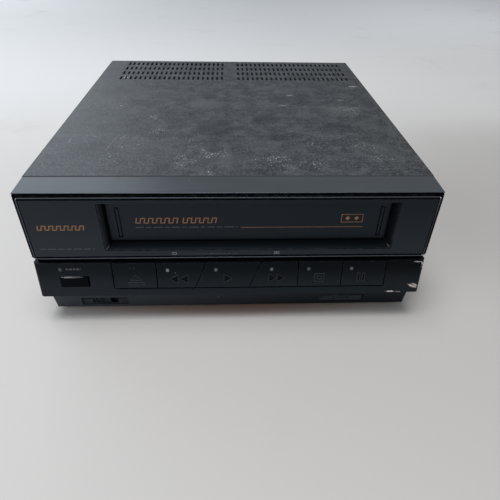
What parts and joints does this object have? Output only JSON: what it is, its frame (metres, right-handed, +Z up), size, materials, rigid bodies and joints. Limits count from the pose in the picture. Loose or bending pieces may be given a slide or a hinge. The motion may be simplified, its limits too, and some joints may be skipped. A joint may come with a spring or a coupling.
{
  "type": "video cassette player",
  "caption": "Compact front-loading video cassette player: hinged cassette door, leaning panel of push buttons, steel cover and a tape deck inside.",
  "frame": {"origin": "middle of the footprint, on the ground under the feet", "axes": "+X to the right seen from the front, +Y from the front to the rear, +Z up"},
  "size_m": [0.3024, 0.3466, 0.1173],
  "materials": {
    "cover_paint": "satin black baked paint",
    "face_plastic": "fine-grained dark grey moulding",
    "panel_plastic": "fine-grained black moulding",
    "tray_plastic": "black moulding",
    "button_plastic": "fine-grained black moulding",
    "door_plate": "smoked glossy plate",
    "lens_plastic": "clear grey",
    "rubber": "matt black",
    "zinc_steel": "zinc plated",
    "dark_screw": "black zinc",
    "polished_steel": "ground and polished",
    "drum_alloy": "diamond turned",
    "heatsink_alloy": "dark anodised",
    "board": "brown circuit board",
    "white_plastic": "natural acetal",
    "black_acetal": "black acetal",
    "capacitor_sleeve": "shrunk sleeve",
    "transformer_iron": "varnished laminations"
  },
  "bodies": {
    "case": {"top_cover": "cover_paint", "front_bezel": "face_plastic", "face_panel": "face_plastic", "control_panel": "panel_plastic", "base_tray": "tray_plastic", "bottom_plate": "zinc_steel", "rear_panel": "cover_paint", "rubber_feet": "rubber", "case_screws": "dark_screw", "door_spring": "polished_steel", "indicator_lenses": "lens_plastic", "key_board": "board", "key_switches": "black_acetal", "deck_plate": "zinc_steel", "lower_drum": "drum_alloy", "capstan_stator": "transformer_iron", "drive_belt": "rubber", "loading_motor": "zinc_steel", "erase_head": "white_plastic", "audio_head": "drum_alloy", "carriage_frame": "zinc_steel", "main_board": "board", "power_transformer": "transformer_iron", "heatsink": "heatsink_alloy", "filter_capacitors": "capacitor_sleeve", "rf_modulator": "zinc_steel", "phono_jacks": "black_acetal", "cord_gland": "black_acetal"},
    "door": {"cassette_door": "panel_plastic", "door_plate": "door_plate", "door_pins": "polished_steel"},
    "power_button": {"power_button": "button_plastic"},
    "tracking_wheel": {"tracking_wheel": "button_plastic"},
    "slide_switch": {"slide_switch": "button_plastic"},
    "slider": {"carriage_slider": "black_acetal"},
    "holder": {"cassette_holder": "zinc_steel"},
    "carriage_gear": {"carriage_gear": "white_plastic"},
    "drum": {"upper_drum": "drum_alloy", "drum_shaft": "polished_steel"},
    "capstan": {"capstan_shaft": "polished_steel", "capstan_flywheel": "zinc_steel"},
    "drive_pulley": {"drive_pulley": "white_plastic"},
    "pinch_arm": {"pinch_arm": "zinc_steel"},
    "pinch_roller": {"pinch_roller": "rubber"},
    "supply_reel": {"supply_reel_table": "black_acetal"},
    "takeup_reel": {"takeup_reel_table": "black_acetal"},
    "idler_arm": {"idler_arm": "zinc_steel"},
    "idler_wheel": {"idler_wheel": "white_plastic"},
    "motor_pinion": {"motor_pinion": "white_plastic"},
    "cam_gear": {"cam_gear": "white_plastic"},
    "supply_guide": {"supply_guide": "white_plastic"},
    "takeup_guide": {"takeup_guide": "white_plastic"},
    "tension_arm": {"tension_arm": "zinc_steel"},
    "eject_button": {"eject_button": "button_plastic"},
    "rewind_button": {"rewind_button": "button_plastic"},
    "play_button": {"play_button": "button_plastic"},
    "fast_forward_button": {"fast_forward_button": "button_plastic"},
    "stop_button": {"stop_button": "button_plastic"},
    "pause_button": {"pause_button": "button_plastic"}
  },
  "joints": [
    {"name": "door_hinge", "type": "hinge", "parent": "case", "child": "door", "pos_m": [0.013, -0.15625, 0.1042], "axis": [1, 0, 0], "range_deg": [0, 85], "stiffness_Nm_per_rad": 0.01, "springref_deg": -20.05},
    {"name": "power_press", "type": "slide", "parent": "case", "child": "power_button", "axis": [0, 1, 0], "range_m": [0, 0.003], "stiffness_N_per_m": 300},
    {"name": "eject_press", "type": "slide", "parent": "case", "child": "eject_button", "axis": [0, 1, 0], "range_m": [0, 0.0015], "stiffness_N_per_m": 400},
    {"name": "rewind_press", "type": "slide", "parent": "case", "child": "rewind_button", "axis": [0, 1, 0], "range_m": [0, 0.0015], "stiffness_N_per_m": 400},
    {"name": "play_press", "type": "slide", "parent": "case", "child": "play_button", "axis": [0, 1, 0], "range_m": [0, 0.0015], "stiffness_N_per_m": 400},
    {"name": "fast_forward_press", "type": "slide", "parent": "case", "child": "fast_forward_button", "axis": [0, 1, 0], "range_m": [0, 0.0015], "stiffness_N_per_m": 400},
    {"name": "stop_press", "type": "slide", "parent": "case", "child": "stop_button", "axis": [0, 1, 0], "range_m": [0, 0.0015], "stiffness_N_per_m": 400},
    {"name": "pause_press", "type": "slide", "parent": "case", "child": "pause_button", "axis": [0, 1, 0], "range_m": [0, 0.0015], "stiffness_N_per_m": 400},
    {"name": "tracking_turn", "type": "hinge", "parent": "case", "child": "tracking_wheel", "pos_m": [0.0914, -0.14385, 0.0112], "axis": [0, 0, 1], "range_deg": [-135, 135]},
    {"name": "switch_slide", "type": "slide", "parent": "case", "child": "slide_switch", "axis": [1, 0, 0], "range_m": [0, 0.012]},
    {"name": "carriage_slide", "type": "slide", "parent": "case", "child": "slider", "axis": [0, 1, 0], "range_m": [0, 0.045]},
    {"name": "holder_drop", "type": "slide", "parent": "slider", "child": "holder", "axis": [0, 0, -1], "range_m": [0, 0.02]},
    {"name": "carriage_gear_spin", "type": "hinge", "parent": "case", "child": "carriage_gear", "pos_m": [0.1152, -0.06025, 0.0557], "axis": [1, 0, 0], "range_deg": [-323, 1]},
    {"name": "drum_spin", "type": "hinge", "parent": "case", "child": "drum", "pos_m": [0.013, 0.01175, 0.0436], "axis": [0, -0.0872, 0.9962], "continuous": true},
    {"name": "capstan_spin", "type": "hinge", "parent": "case", "child": "capstan", "pos_m": [0.073, -0.02225, 0.06], "axis": [0, 0, 1], "continuous": true},
    {"name": "drive_pulley_spin", "type": "hinge", "parent": "case", "child": "drive_pulley", "pos_m": [0.013, -0.06725, 0.0398], "axis": [0, 0, 1], "continuous": true},
    {"name": "pinch_swing", "type": "hinge", "parent": "case", "child": "pinch_arm", "pos_m": [0.101, -0.00825, 0.0436], "axis": [0, 0, 1], "range_deg": [0, 25]},
    {"name": "pinch_roller_spin", "type": "hinge", "parent": "pinch_arm", "child": "pinch_roller", "pos_m": [0.07646, -0.00348, 0.06], "axis": [0, 0, 1], "continuous": true},
    {"name": "supply_reel_spin", "type": "hinge", "parent": "case", "child": "supply_reel", "pos_m": [-0.033, -0.09725, 0.0436], "axis": [0, 0, 1], "continuous": true},
    {"name": "takeup_reel_spin", "type": "hinge", "parent": "case", "child": "takeup_reel", "pos_m": [0.059, -0.09725, 0.0436], "axis": [0, 0, 1], "continuous": true},
    {"name": "idler_swing", "type": "hinge", "parent": "case", "child": "idler_arm", "pos_m": [0.013, -0.06725, 0.0436], "axis": [0, 0, 1], "range_deg": [-22, 22]},
    {"name": "idler_wheel_spin", "type": "hinge", "parent": "idler_arm", "child": "idler_wheel", "pos_m": [0.013, -0.09725, 0.0436], "axis": [0, 0, 1], "continuous": true},
    {"name": "cam_gear_turn", "type": "hinge", "parent": "case", "child": "cam_gear", "pos_m": [-0.055, 0.04675, 0.0436], "axis": [0, 0, 1], "range_deg": [0, 180]},
    {"name": "motor_pinion_spin", "type": "hinge", "parent": "case", "child": "motor_pinion", "pos_m": [-0.055, 0.07685, 0.0436], "axis": [0, 0, 1], "range_deg": [-721, 1]},
    {"name": "supply_guide_slide", "type": "slide", "parent": "case", "child": "supply_guide", "axis": [-0.2045, 0.9789, 0], "range_m": [0, 0.06845]},
    {"name": "takeup_guide_slide", "type": "slide", "parent": "case", "child": "takeup_guide", "axis": [0.2045, 0.9789, 0], "range_m": [0, 0.06845]},
    {"name": "tension_swing", "type": "hinge", "parent": "case", "child": "tension_arm", "pos_m": [-0.067, -0.02825, 0.0436], "axis": [0, 0, 1], "range_deg": [0, 20]}
  ],
  "couplings": [
    {"joint": "carriage_gear_spin", "follows": "carriage_slide", "rad_per_m": -125},
    {"joint": "drive_pulley_spin", "follows": "capstan_spin", "ratio": 0.66667},
    {"joint": "motor_pinion_spin", "follows": "cam_gear_turn", "ratio": -4},
    {"joint": "supply_guide_slide", "follows": "cam_gear_turn", "m_per_rad": 0.021787},
    {"joint": "takeup_guide_slide", "follows": "cam_gear_turn", "m_per_rad": 0.021787}
  ]
}
